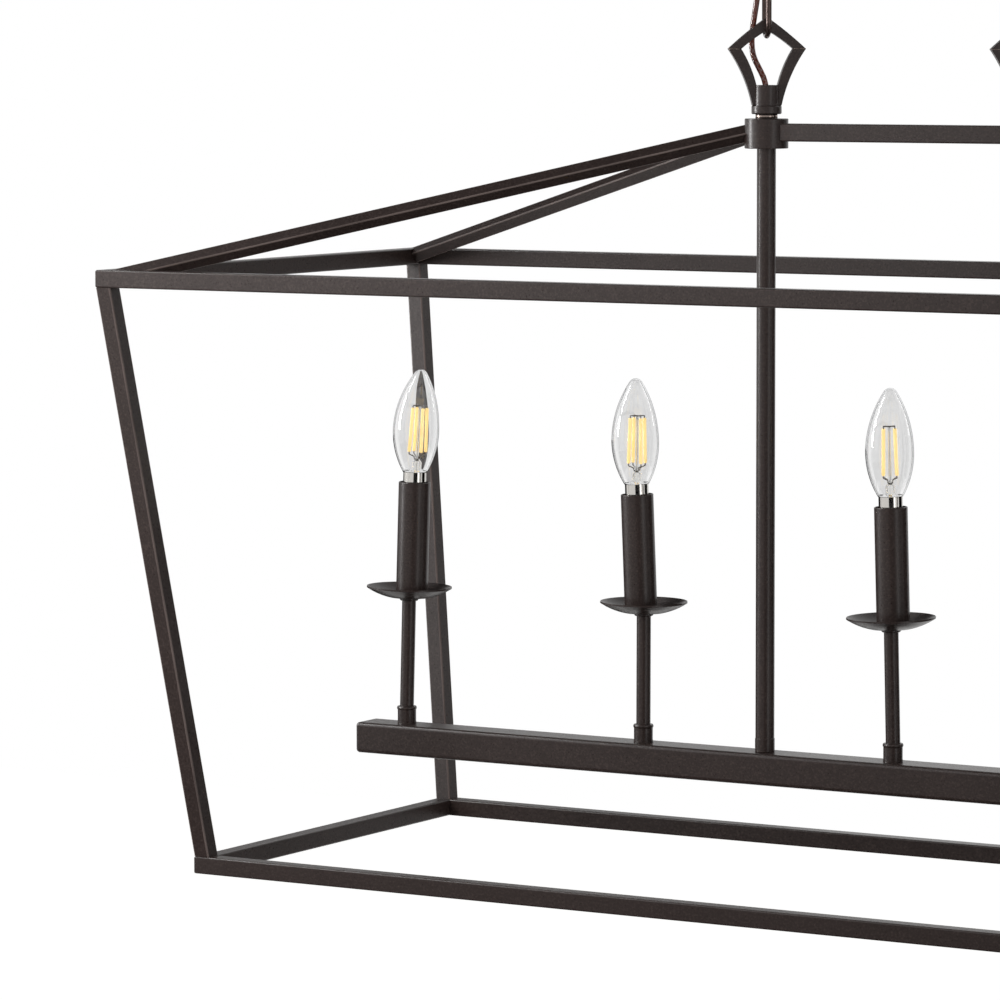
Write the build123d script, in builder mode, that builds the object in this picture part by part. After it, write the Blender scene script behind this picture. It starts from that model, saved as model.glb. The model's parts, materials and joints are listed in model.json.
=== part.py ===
"""Linear lantern pendant: a tapered cage of square tube with a candle bar, hung by two chains from a canopy.

The origin is on the ceiling plane, midway between the two chains. +X runs along the lantern, +Z is up,
and -Y is the front.
"""
from build123d import *
import os
from math import atan2, cos, pi, radians, sin, sqrt, tan

os.makedirs("parts", exist_ok=True)

# Cage of square tube, sizes over its outside faces
top_length = 1069.8
top_width = 433.8
bottom_length = 963.6
bottom_width = 347.6
cage_height = 441.3
tube = 12.7
tube_wall = 1.0
tube_corner = 1.2

# Hip bars, square tube set on edge, and the ridge; a rise is measured up from the cage's top face
hip_tube = 9.4
hip_wall = 0.9
hip_corner = 1.0
hip_rise = 101.4
hip_foot_inset = 14.4
ridge_rise = 99.0

# Hubs, check rings and loops
stem_spacing = 206.2
hub_rise = 98.1
hub_d = 31.2
hub_height = 21.2
hub_edge = 0.6
neck_d = 15.7
neck_height = 3.2
ring_d = 21.6
ring_height = 6.1
ring_edge = 1.0
socket_d = 18.2
socket_height = 14.5
loop_turn = 37.0
loop_base_half = 10.4
loop_base_inner_half = 7.7
loop_half = 27.8
loop_inner_half = 18.6
loop_shoulder = 40.2
loop_apex = 62.6
loop_inner_apex = 53.3
loop_depth = 6.0
loop_bow = 2.4
loop_top_bow = 0.9
loop_edge = 0.5

# Threaded nipples, which carry the wires through hub, stem foot and bar
nipple_d = 9.8
nipple_bore = 7.0
thread_fit = 0.1
nipple_grip = 8.0
stem_d = 13.6
stem_seat = 12.0
coupling_d = 14.2
coupling_height = 10.0
coupling_edge = 0.5
nut_across = 14.0
nut_height = 3.2
nut_stickout = 1.2

# Light bar; a drop is measured down from the cage's top face
bar_drop = 345.8
bar_length = 888.6
bar_width = 28.0
bar_height = 22.9
bar_wall = 1.5
bar_edge = 2.8
cover_width = 17.6
cover_end_gap = 30.0
cover_fit = 0.15
post_length = 10.0
post_width = 8.0
post_inset = 36.0
screw_d = 3.0
screw_head_d = 5.6
screw_head_height = 1.8
screw_grip = 6.0

# Candles, with heights above the bar's top face; leans and shifts are to the right as photographed
arm_leans = [1.36, 0.18, -1.21, 0.0, 0.0]
candle_leans = [1.6, -2.0, -1.5, 0.0, 0.0]
candle_shifts = [2.0, -2.0, 1.6, 0.0, 0.0]
candle_end_margin = 37.2
view_turn = 31.1
arm_d = 10.4
arm_bore = 8.0
arm_straight = 4.0
arm_tip_gap = 0.3
ferrule_d = 13.8
ferrule_height = 13.2
bead_d = 14.8
bead_height = 2.6
ferrule_foot_d = 14.2
ferrule_foot_height = 1.6
collar_d = 13.8
collar_height = 2.5
collar_edge = 0.6
cup_base = 95.2
cup_d = 63.6
cup_depth = 8.2
cup_wall = 1.2
cup_flat_margin = 3.2
cup_bulge_run = 0.62
cup_bulge_rise = 0.5
sleeve_d = 23.8
sleeve_wall = 0.9
sleeve_edge = 0.6
sleeve_foot_trim = 1.0
sleeve_top = 181.7
holder_d = 20.6
holder_height = 46.0
holder_below_rim = 1.6
holder_bore = 12.6
holder_bore_depth = 24.0
holder_foot_depth = 9.0

# Bulbs: clear torpedo glass on a small screw base
base_collar_d = 17.2
glass_above_sleeve = 7.4
base_seat_gap = 0.3
base_thread_d = 11.9
base_thread_length = 17.0
base_thread_pitch = 2.54
base_groove = 0.45
base_wall = 0.7
contact_d = 6.0
contact_height = 2.5
glass_d = 34.6
glass_belly = 31.0
glass_lower_radius = 62.0
glass_upper_radius = 76.8
glass_tip_radius = 4.2
glass_wall = 0.9
filament_count = 4
filament_turns = [50.0, 55.0, 72.0, 40.0, 20.0]
filament_d = 2.4
filament_length = 33.0
filament_start = 15.0
filament_circle_d = 13.4
filament_top_circle_d = 11.4
mount_d = 2.6
mount_flare_height = 9.0
mount_tip = 3.0
support_wire_d = 0.8
bulb_seat_gap = 0.05

# Chain, eye bolts, canopy and ceiling strap
link_wire = 4.0
link_length = 42.0
link_width = 23.0
link_gap = 0.35
loop_gap = 1.3
eye_wire = 5.0
eye_bore = 14.0
eye_collar_d = 15.0
eye_collar_height = 6.0
eye_collar_edge = 0.8
eye_sink = 1.5
shank_d = 8.0
shank_fit = 0.15
canopy_length = 320.0
canopy_width = 120.0
canopy_depth = 26.0
canopy_wall = 1.2
canopy_corner = 14.0
canopy_edge = 4.0
strap_length = 286.0
strap_width = 32.0
strap_thickness = 2.5
box_screw_spacing = 88.9
box_slot_length = 14.0
box_slot_width = 5.2
weld_nut_across = 14.0
weld_nut_height = 6.0
shank_tip_gap = 0.5

# Wiring: harness inside, supply cord up to the canopy
trunk_d = 5.0
riser_d = 3.2
riser_gap = 1.0
harness_offset = 8.0
harness_bend = 3.5
cord_d = 4.2
cord_corner_share = 0.45
bushing_d = 9.0
bushing_flange_d = 11.0
bushing_flange_height = 1.6
bushing_bore_fit = 0.4
bushing_stickout = 3.0

# Supply cord's route as photographed: to the right of the chain's axis, behind it, above the loop's base
cord_route = [
    (0.0, 0.0, 9.0),
    (-0.8, 0.2, 17.0),
    (-4.8, 1.4, 25.5),
    (-9.4, 4.0, 34.5),
    (-10.6, 6.6, 44.5),
    (-9.6, 7.6, 55.5),
    (-7.8, 8.0, 67.0),
    (-6.0, 8.2, 79.0),
    (-6.2, 8.0, 92.0),
    (-7.6, 8.6, 105.0),
    (-10.0, 9.6, 117.0),
    (-11.8, 10.6, 129.0),
    (-12.0, 10.8, 142.0),
]


def save(part, name):
    """Label a finished piece and write it as one STEP file under its node's name."""
    part.label = name
    export_step(part, f"parts/{name}.step")


# Heights in the row's frame, from the ceiling down to the bar
eye_ring_r = eye_bore / 2 + eye_wire / 2
eye_centre_z = -canopy_depth - eye_collar_height + eye_sink - eye_ring_r - eye_wire / 2
eye_wire_z = eye_centre_z - eye_ring_r
upper_link_top_z = eye_wire_z + eye_wire / 2 + link_gap + link_wire / 2
link_drop = link_length - link_wire
upper_link_bottom_z = upper_link_top_z - link_drop
lower_link_top_z = upper_link_bottom_z + link_wire + link_gap
lower_link_bottom_z = lower_link_top_z - link_drop
link_bend_r = link_width / 2 - link_wire
link_sag = link_bend_r - sqrt(link_bend_r**2 - (loop_depth / 2) ** 2)
loop_base_z = lower_link_bottom_z + link_wire / 2 + link_sag + loop_gap - loop_inner_apex
hub_top_z = loop_base_z - ring_height - neck_height
hub_bottom_z = hub_top_z - hub_height
cage_top_z = hub_top_z - hub_height / 2 - hub_rise
cage_bottom_z = cage_top_z - cage_height
bar_top_z = cage_top_z - bar_drop
bar_bottom_z = bar_top_z - bar_height
ridge_z = cage_top_z + ridge_rise
stems_x = {"left": -stem_spacing / 2, "right": stem_spacing / 2}
candle_pitch = (bar_length - 2 * candle_end_margin) / (len(candle_leans) - 1)
candles_x = [candle_end_margin - bar_length / 2 + candle_pitch * i for i in range(len(candle_leans))]
view_right = Vector(cos(radians(view_turn)), sin(radians(view_turn)), 0)
view_back = Vector(-sin(radians(view_turn)), cos(radians(view_turn)), 0)
CENTRE_MIN = (Align.CENTER, Align.CENTER, Align.MIN)
CENTRE_MAX = (Align.CENTER, Align.CENTER, Align.MAX)


def leaning(pivot, pivot_height, lean):
    """Return a frame that leans to the right about a pivot, with its origin a height below the pivot."""
    up = Vector(0, 0, 1) * cos(radians(lean)) + view_right * sin(radians(lean))
    return Plane(pivot - up * pivot_height, x_dir=Vector(0, 1, 0).cross(up), z_dir=up)


# Two frames per candle: the arm leans from its ferrule, the sleeve from its cup
sleeve_base = cup_base + cup_wall
arm_frames = []
candle_frames = []
for x, arm_lean, candle_lean, shift in zip(candles_x, arm_leans, candle_leans, candle_shifts):
    arm_frame = leaning(Vector(x, 0, bar_top_z + ferrule_height), ferrule_height, arm_lean)
    sleeve_foot = arm_frame.origin + arm_frame.z_dir * sleeve_base + view_right * shift
    arm_frames.append(arm_frame)
    candle_frames.append(leaning(sleeve_foot, sleeve_base, candle_lean))


def candle_axis(frame):
    """Return the axis up the middle of a candle."""
    return Axis(frame.origin, frame.z_dir)


def candle_side(frame, height):
    """Return the upright plane through a candle's axis, with its origin on the axis at a height."""
    return Plane(frame.origin + frame.z_dir * height, x_dir=frame.x_dir, z_dir=frame.y_dir * -1)


# Mitred rails of the top and bottom frames
frames = {
    "top": (top_length, top_width, cage_top_z - tube / 2),
    "bottom": (bottom_length, bottom_width, cage_bottom_z + tube / 2),
}
rail_sides = {
    "front": (Vector(1, 0, 0), Vector(0, -1, 0)),
    "back": (Vector(1, 0, 0), Vector(0, 1, 0)),
    "left": (Vector(0, 1, 0), Vector(-1, 0, 0)),
    "right": (Vector(0, 1, 0), Vector(1, 0, 0)),
}
for level, (frame_length, frame_width, rail_z) in frames.items():
    for side, (along, outward) in rail_sides.items():
        half_run, reach = frame_length / 2, frame_width / 2
        if along.Y:
            half_run, reach = reach, half_run
        middle = outward * (reach - tube / 2) + Vector(0, 0, rail_z)
        with BuildPart() as rail:
            with BuildSketch(Plane(middle, x_dir=outward, z_dir=along)):
                RectangleRounded(tube, tube, tube_corner)
                Rectangle(tube - 2 * tube_wall, tube - 2 * tube_wall, mode=Mode.SUBTRACT)
            extrude(amount=half_run, both=True)
            for end in (-1, 1):
                corner = outward * reach + along * (end * half_run)
                split(bisect_by=Plane(corner, z_dir=outward - along * end), keep=Keep.TOP)
        save(rail.part, f"{level}_rail_{side}")

# Legs, butted between the two frames with their outer faces flush
for depth_name, depth_sign in (("front", -1), ("back", 1)):
    for end_name, end_sign in (("left", -1), ("right", 1)):
        head_x = end_sign * (top_length - tube) / 2
        head_y = depth_sign * (top_width - tube) / 2
        foot_x = end_sign * (bottom_length - tube) / 2
        foot_y = depth_sign * (bottom_width - tube) / 2
        head = Plane((head_x, head_y, cage_top_z - tube))
        foot = Plane((foot_x, foot_y, cage_bottom_z + tube))
        with BuildPart() as leg:
            for plane in (head, foot):
                with BuildSketch(plane):
                    RectangleRounded(tube, tube, tube_corner)
            loft(ruled=True)
            for plane in (head, foot):
                with BuildSketch(plane):
                    Rectangle(tube - 2 * tube_wall, tube - 2 * tube_wall)
            loft(ruled=True, mode=Mode.SUBTRACT)
        save(leg.part, f"leg_{depth_name}_{end_name}")

# Hip bars from the hubs to the inner corners of the top frame, coped over the rails
for depth_name, depth_sign in (("front", -1), ("back", 1)):
    for end_name, end_sign in (("left", -1), ("right", 1)):
        hub_x = stems_x[end_name]
        hub_point = Vector(hub_x, 0, cage_top_z + hip_rise)
        foot_x = end_sign * (top_length - tube) / 2
        foot_y = depth_sign * (top_width / 2 - hip_foot_inset)
        foot_point = Vector(foot_x, foot_y, cage_top_z - tube / 2)
        run = foot_point - hub_point
        section = Plane(hub_point, x_dir=Vector(0, 0, 1).cross(run), z_dir=run)
        with BuildPart() as hip:
            with BuildSketch(section):
                RectangleRounded(hip_tube, hip_tube, hip_corner, rotation=45)
                Rectangle(hip_tube - 2 * hip_wall, hip_tube - 2 * hip_wall, rotation=45, mode=Mode.SUBTRACT)
            extrude(amount=run.length)
            with Locations((hub_x, 0, hub_bottom_z)):
                Cylinder(hub_d / 2, hub_height, align=CENTRE_MIN, mode=Mode.SUBTRACT)
            with Locations((end_sign * top_length / 2, 0, cage_top_z)):
                Box(2 * tube, top_width, 2 * tube, align=CENTRE_MAX, mode=Mode.SUBTRACT)
            with Locations((0, depth_sign * top_width / 2, cage_top_z)):
                Box(top_length, 2 * tube, 2 * tube, align=CENTRE_MAX, mode=Mode.SUBTRACT)
        save(hip.part, f"hip_{depth_name}_{end_name}")

# Ridge bar, coped to the two hubs
with BuildPart() as ridge_bar:
    with BuildSketch(Plane((0, 0, ridge_z), x_dir=(0, 1, 0), z_dir=(1, 0, 0))):
        RectangleRounded(tube, tube, tube_corner)
        Rectangle(tube - 2 * tube_wall, tube - 2 * tube_wall, mode=Mode.SUBTRACT)
    extrude(amount=stem_spacing / 2, both=True)
    with Locations(*[(x, 0, hub_bottom_z) for x in stems_x.values()]):
        Cylinder(hub_d / 2, hub_height, align=CENTRE_MIN, mode=Mode.SUBTRACT)
save(ridge_bar.part, "ridge_bar")

# Hubs with their necks, bored for stem and nipple
for end_name, x in stems_x.items():
    with BuildPart() as hub:
        with Locations((x, 0, hub_bottom_z)):
            Cylinder(hub_d / 2, hub_height, align=CENTRE_MIN)
        fillet(hub.edges(), radius=hub_edge)
        with Locations((x, 0, hub_top_z)):
            Cylinder(neck_d / 2, neck_height, align=CENTRE_MIN)
        with Locations((x, 0, hub_bottom_z)):
            Cylinder(stem_d / 2 + thread_fit, stem_seat, align=CENTRE_MIN, mode=Mode.SUBTRACT)
            Cylinder(
                nipple_d / 2 + thread_fit, hub_height + neck_height, align=CENTRE_MIN, mode=Mode.SUBTRACT
            )
    save(hub.part, f"hub_{end_name}")

# Stems from the couplings up into the hubs
stem_bottom_z = bar_top_z + coupling_height
stem_top_z = hub_bottom_z + stem_seat
for end_name, x in stems_x.items():
    with BuildPart() as stem:
        with Locations((x, 0, stem_bottom_z)):
            Cylinder(stem_d / 2, stem_top_z - stem_bottom_z, align=CENTRE_MIN)
            Cylinder(
                nipple_d / 2 + thread_fit, stem_top_z - stem_bottom_z, align=CENTRE_MIN, mode=Mode.SUBTRACT
            )
    save(stem.part, f"stem_{end_name}")

# Couplings at the stems' feet
with BuildPart() as stem_couplings:
    with Locations(*[(x, 0, bar_top_z) for x in stems_x.values()]):
        Cylinder(coupling_d / 2, coupling_height, align=CENTRE_MIN)
    fillet(stem_couplings.edges(), radius=coupling_edge)
    with Locations(*[(x, 0, bar_top_z) for x in stems_x.values()]):
        Cylinder(nipple_d / 2 + thread_fit, coupling_height, align=CENTRE_MIN, mode=Mode.SUBTRACT)
save(stem_couplings.part, "stem_couplings")

# Threaded nipples: one through each hub, one through each stem foot
nut_bottom_z = bar_top_z - bar_wall - nut_height
foot_nipple_z = nut_bottom_z - nut_stickout
foot_nipple_length = stem_bottom_z + nipple_grip - foot_nipple_z
hub_nipple_z = stem_top_z - nipple_grip
hub_nipple_length = loop_base_z + nipple_grip - hub_nipple_z
with BuildPart() as threaded_nipples:
    with Locations(*[(x, 0, hub_nipple_z) for x in stems_x.values()]):
        Cylinder(nipple_d / 2, hub_nipple_length, align=CENTRE_MIN)
    with Locations(*[(x, 0, foot_nipple_z) for x in stems_x.values()]):
        Cylinder(nipple_d / 2, foot_nipple_length, align=CENTRE_MIN)
    with Locations(*[(x, 0, hub_nipple_z) for x in stems_x.values()]):
        Cylinder(nipple_bore / 2, hub_nipple_length, align=CENTRE_MIN, mode=Mode.SUBTRACT)
    with Locations(*[(x, 0, foot_nipple_z) for x in stems_x.values()]):
        Cylinder(nipple_bore / 2, foot_nipple_length, align=CENTRE_MIN, mode=Mode.SUBTRACT)
save(threaded_nipples.part, "threaded_nipples")

# Check rings between the hubs' necks and the loops
with BuildPart() as check_rings:
    with Locations(*[(x, 0, hub_top_z + neck_height) for x in stems_x.values()]):
        Cylinder(ring_d / 2, ring_height, align=CENTRE_MIN)
    fillet(check_rings.edges(), radius=ring_edge)
    with Locations(*[(x, 0, hub_top_z + neck_height) for x in stems_x.values()]):
        Cylinder(nipple_d / 2 + thread_fit, ring_height, align=CENTRE_MIN, mode=Mode.SUBTRACT)
save(check_rings.part, "check_rings")

# Loops: a bored socket with a kite of square bar, turned on its thread as in the photograph
turn = radians(loop_turn)
across = Vector(cos(turn), sin(turn), 0)
towards_back = Vector(-sin(turn), cos(turn), 0)
outer_bow = (
    (loop_base_half + loop_half) / 2 - loop_bow,
    loop_shoulder / 2,
)
inner_bow = (
    (loop_base_inner_half + loop_inner_half) / 2 - loop_bow / 2,
    (socket_height + loop_shoulder) / 2,
)
outer_top_bow = (
    (loop_half + loop_top_bow) / 2,
    (loop_shoulder + loop_apex + loop_top_bow) / 2,
)
inner_top_bow = (
    (loop_inner_half + loop_top_bow) / 2,
    (loop_shoulder + loop_inner_apex + loop_top_bow) / 2,
)
for end_name, x in stems_x.items():
    face = Plane((x, 0, loop_base_z), x_dir=across, z_dir=towards_back * -1)
    with BuildPart() as loop:
        with BuildSketch(face):
            with BuildLine():
                for side in (-1, 1):
                    shoulder = (side * loop_half, loop_shoulder)
                    foot = (side * loop_base_half, 0)
                    top_bow = (side * outer_top_bow[0], outer_top_bow[1])
                    side_bow = (side * outer_bow[0], outer_bow[1])
                    ThreePointArc((0, loop_apex), top_bow, shoulder)
                    ThreePointArc(shoulder, side_bow, foot)
                Line((loop_base_half, 0), (-loop_base_half, 0))
            make_face()
            with BuildLine():
                for side in (-1, 1):
                    shoulder = (side * loop_inner_half, loop_shoulder)
                    foot = (side * loop_base_inner_half, socket_height)
                    top_bow = (side * inner_top_bow[0], inner_top_bow[1])
                    side_bow = (side * inner_bow[0], inner_bow[1])
                    ThreePointArc((0, loop_inner_apex), top_bow, shoulder)
                    ThreePointArc(shoulder, side_bow, foot)
                Line((loop_base_inner_half, socket_height), (-loop_base_inner_half, socket_height))
            make_face(mode=Mode.SUBTRACT)
        extrude(amount=loop_depth / 2, both=True)
        chamfer(loop.edges().filter_by(GeomType.LINE).group_by(SortBy.LENGTH)[-1], length=loop_edge)
        with Locations((x, 0, loop_base_z)):
            Cylinder(socket_d / 2, socket_height, align=CENTRE_MIN)
            Cylinder(nipple_d / 2 + thread_fit, socket_height, align=CENTRE_MIN, mode=Mode.SUBTRACT)
    save(loop.part, f"loop_{end_name}")

# Light bar: a closed rounded tube with a slot below, bored for stems and arms, with posts for the cover
cover_length = bar_length - 2 * cover_end_gap
posts_x = [-(cover_length / 2 - post_inset), cover_length / 2 - post_inset]
bar_holes = [(x, nipple_d) for x in stems_x.values()] + [(x, arm_d) for x in candles_x]
inside_height = bar_height - 2 * bar_wall
with BuildPart() as light_bar:
    with Locations((0, 0, bar_bottom_z)):
        Box(bar_length, bar_width, bar_height, align=CENTRE_MIN)
    fillet(light_bar.edges(), radius=bar_edge)
    with Locations((0, 0, bar_bottom_z + bar_wall)):
        Box(
            bar_length - 2 * bar_wall,
            bar_width - 2 * bar_wall,
            inside_height,
            align=CENTRE_MIN,
            mode=Mode.SUBTRACT,
        )
    with Locations((0, 0, bar_bottom_z)):
        Box(
            cover_length + 2 * cover_fit,
            cover_width + 2 * cover_fit,
            bar_wall,
            align=CENTRE_MIN,
            mode=Mode.SUBTRACT,
        )
    for x, pipe_d in bar_holes:
        with Locations((x, 0, bar_top_z)):
            Cylinder(pipe_d / 2 + thread_fit, bar_wall, align=CENTRE_MAX, mode=Mode.SUBTRACT)
    with Locations(*[(x, 0, bar_bottom_z + bar_wall) for x in posts_x]):
        Box(post_length, post_width, inside_height, align=CENTRE_MIN)
        Cylinder(screw_d / 2, screw_grip, align=CENTRE_MIN, mode=Mode.SUBTRACT)
save(light_bar.part, "light_bar")

# Cover strip in the bar's slot, and its screws
with BuildPart() as bar_cover:
    with Locations((0, 0, bar_bottom_z)):
        Box(cover_length, cover_width, bar_wall, align=CENTRE_MIN)
    with Locations(*[(x, 0, bar_bottom_z) for x in posts_x]):
        Cylinder(screw_d / 2, bar_wall, align=CENTRE_MIN, mode=Mode.SUBTRACT)
save(bar_cover.part, "bar_cover")
with BuildPart() as cover_screws:
    with Locations(*[(x, 0, bar_bottom_z) for x in posts_x]):
        Cylinder(screw_head_d / 2, screw_head_height, align=CENTRE_MAX)
    fillet(cover_screws.edges().group_by(Axis.Z)[0], radius=screw_head_height / 3)
    with Locations(*[(x, 0, bar_bottom_z) for x in posts_x]):
        Cylinder(screw_d / 2, bar_wall + screw_grip, align=CENTRE_MIN)
save(cover_screws.part, "cover_screws")

# Lock nuts under the bar's top wall
with BuildPart() as lock_nuts:
    with BuildSketch(Plane.XY.offset(nut_bottom_z)):
        for x, pipe_d in bar_holes:
            with Locations((x, 0)):
                RegularPolygon(nut_across / 2, 6, major_radius=False)
                Circle(pipe_d / 2 + thread_fit, mode=Mode.SUBTRACT)
    extrude(amount=nut_height)
save(lock_nuts.part, "lock_nuts")

# Ferrules with a bead, around the arms' feet
with BuildPart() as ferrules:
    for x in candles_x:
        with BuildSketch(Plane((x, 0, bar_top_z), x_dir=(1, 0, 0), z_dir=(0, -1, 0))):
            with BuildLine():
                bead_low = ferrule_height - bead_height
                bore_r = arm_d / 2 + thread_fit
                Polyline(
                    (ferrule_d / 2, bead_low),
                    (ferrule_d / 2, ferrule_foot_height),
                    (ferrule_foot_d / 2, ferrule_foot_height),
                    (ferrule_foot_d / 2, 0),
                    (bore_r, 0),
                    (bore_r, ferrule_height),
                    (ferrule_d / 2, ferrule_height),
                )
                ThreePointArc(
                    (ferrule_d / 2, ferrule_height),
                    (bead_d / 2, bead_low + bead_height / 2),
                    (ferrule_d / 2, bead_low),
                )
            make_face()
        revolve(axis=Axis((x, 0, 0), (0, 0, 1)))
save(ferrules.part, "ferrules")

# Arm tubes from the lock nuts up into the lampholders, with a slight bend at ferrule, cup and lampholder
holder_top = sleeve_top - holder_below_rim
holder_bottom = holder_top - holder_height
arm_bottom_z = nut_bottom_z - nut_stickout
arm_top = holder_bottom + holder_foot_depth - arm_tip_gap
arm_routes = []
for x, arm_frame, candle_frame in zip(candles_x, arm_frames, candle_frames):
    arm_foot = Vector(x, 0, arm_bottom_z)
    ferrule_bend = Vector(x, 0, bar_top_z + ferrule_height)
    cup_bend = arm_frame.origin + arm_frame.z_dir * (sleeve_base + arm_straight)
    holder_bend = candle_frame.origin + candle_frame.z_dir * (holder_bottom - arm_straight)
    arm_routes.append([arm_foot, ferrule_bend, cup_bend, holder_bend])
with BuildPart() as arm_tubes:
    for route, frame in zip(arm_routes, candle_frames):
        with BuildLine() as arm_path:
            Polyline(*route, frame.origin + frame.z_dir * arm_top)
        with BuildSketch(Plane(route[0])):
            Circle(arm_d / 2)
            Circle(arm_bore / 2, mode=Mode.SUBTRACT)
        sweep(path=arm_path.line, transition=Transition.TRANSFORMED)
save(arm_tubes.part, "arm_tubes")

# Collars that carry the drip cups
arm_hole_r = arm_d / 2 + thread_fit
with BuildPart() as cup_collars:
    for frame in arm_frames:
        with BuildSketch(candle_side(frame, cup_base)):
            with BuildLine():
                Polyline(
                    (arm_hole_r, 0),
                    (collar_d / 2, 0),
                    (collar_d / 2, collar_edge - collar_height),
                    (collar_d / 2 - collar_edge, -collar_height),
                    (arm_hole_r, -collar_height),
                    close=True,
                )
            make_face()
        revolve(axis=candle_axis(frame))
save(cup_collars.part, "cup_collars")

# Drip cups: shallow spun dishes, flat under the sleeve and bored for the arm
cup_flat_r = sleeve_d / 2 + cup_flat_margin
cup_rim_r = cup_d / 2
cup_curve_run = cup_rim_r - cup_flat_r
cup_bulge = (cup_flat_r + cup_bulge_run * cup_curve_run, cup_bulge_rise * (cup_depth - cup_wall))
with BuildPart() as drip_cups:
    for frame in arm_frames:
        with BuildSketch(candle_side(frame, cup_base)):
            with BuildLine():
                ThreePointArc((cup_flat_r, 0), cup_bulge, (cup_rim_r, cup_depth - cup_wall))
                Line((cup_rim_r, cup_depth - cup_wall), (cup_rim_r, cup_depth))
                ThreePointArc(
                    (cup_rim_r, cup_depth), (cup_bulge[0], cup_bulge[1] + cup_wall), (cup_flat_r, cup_wall)
                )
                Polyline((cup_flat_r, cup_wall), (arm_hole_r, cup_wall), (arm_hole_r, 0), (cup_flat_r, 0))
            make_face()
        revolve(axis=candle_axis(frame))
save(drip_cups.part, "drip_cups")

# Candle sleeves standing in the cups, their feet trimmed to the cups' floors
with BuildPart() as candle_sleeves:
    for arm_frame, frame in zip(arm_frames, candle_frames):
        with BuildSketch(candle_side(frame, sleeve_base - sleeve_foot_trim)) as sleeve_section:
            with Locations((sleeve_d / 2, 0)):
                Rectangle(
                    sleeve_wall, sleeve_top - sleeve_base + sleeve_foot_trim, align=(Align.MAX, Align.MIN)
                )
            rim_corners = sleeve_section.vertices().group_by(Axis.Y)[-1]
            fillet(rim_corners.sort_by(Axis.X)[-1], radius=sleeve_edge)
        revolve(axis=candle_axis(frame))
        with Locations(arm_frame.offset(sleeve_base)):
            Cylinder(cup_flat_r, 2 * sleeve_foot_trim, align=CENTRE_MAX, mode=Mode.SUBTRACT)
save(candle_sleeves.part, "candle_sleeves")

# Lampholders inside the sleeves, screwed on the arms
with BuildPart() as lampholders:
    with Locations(*[frame.offset(holder_bottom) for frame in candle_frames]):
        Cylinder(holder_d / 2, holder_height, align=CENTRE_MIN)
        Cylinder(arm_hole_r, holder_foot_depth, align=CENTRE_MIN, mode=Mode.SUBTRACT)
    with Locations(*[frame.offset(holder_top) for frame in candle_frames]):
        Cylinder(holder_bore / 2, holder_bore_depth, align=CENTRE_MAX, mode=Mode.SUBTRACT)
save(lampholders.part, "lampholders")

# Wire harness: a trunk on the cover, a lead in the left stem and a riser along each arm
trunk_z = bar_bottom_z + bar_wall + trunk_d / 2
lead_top = Vector(stems_x["left"], 0, loop_base_z + cord_route[0][2])
elbows = [(lead_top, cord_d)] + [(route[1], riser_d) for route in arm_routes]
with BuildPart() as wire_harness:
    with BuildSketch(Plane((0, harness_offset, trunk_z), x_dir=(0, 1, 0), z_dir=(1, 0, 0))):
        Circle(trunk_d / 2)
    extrude(amount=candles_x[-1] + trunk_d, both=True)
    for elbow_top, wire_d in elbows:
        elbow_foot = Vector(elbow_top.X, harness_offset, trunk_z)
        with BuildLine() as elbow_path:
            FilletPolyline(elbow_foot, (elbow_top.X, 0, trunk_z), elbow_top, radius=harness_bend)
        with BuildSketch(Plane(elbow_foot, z_dir=(0, -1, 0))):
            Circle(wire_d / 2)
        sweep(path=elbow_path.line)
    for route, frame in zip(arm_routes, candle_frames):
        with BuildLine() as riser_path:
            Polyline(*route[1:], frame.origin + frame.z_dir * (arm_top - riser_gap))
        with BuildSketch(Plane(route[1])):
            Circle(riser_d / 2)
        sweep(path=riser_path.line, transition=Transition.TRANSFORMED)
save(wire_harness.part, "wire_harness")

# Bulbs: base, glass and filaments, one set per candle
glass_base = sleeve_top + glass_above_sleeve
collar_low = holder_top + base_seat_gap
collar_high = glass_base - bulb_seat_gap
lower_centre_r = glass_d / 2 - glass_lower_radius
upper_centre_r = glass_d / 2 - glass_upper_radius
tip_centre = glass_belly + sqrt((glass_upper_radius - glass_tip_radius) ** 2 - upper_centre_r**2)
tip_angle = atan2(tip_centre - glass_belly, -upper_centre_r)
tip_middle_angle = (tip_angle + pi / 2) / 2


def glass_side(inset):
    """Draw one side of the glass wall, from neck to tip, and return its two ends."""
    lower_r = glass_lower_radius - inset
    upper_r = glass_upper_radius - inset
    tip_r = glass_tip_radius - inset
    neck = (lower_centre_r + sqrt(lower_r**2 - glass_belly**2), 0)
    lower_middle = (lower_centre_r + sqrt(lower_r**2 - (glass_belly / 2) ** 2), glass_belly / 2)
    belly = (glass_d / 2 - inset, glass_belly)
    shoulder = (upper_centre_r + upper_r * cos(tip_angle), glass_belly + upper_r * sin(tip_angle))
    upper_middle = (
        upper_centre_r + upper_r * cos(tip_angle / 2),
        glass_belly + upper_r * sin(tip_angle / 2),
    )
    tip_middle = (tip_r * cos(tip_middle_angle), tip_centre + tip_r * sin(tip_middle_angle))
    tip = (0, tip_centre + tip_r)
    ThreePointArc(neck, lower_middle, belly)
    ThreePointArc(belly, upper_middle, shoulder)
    ThreePointArc(shoulder, tip_middle, tip)
    return neck, tip


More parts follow.
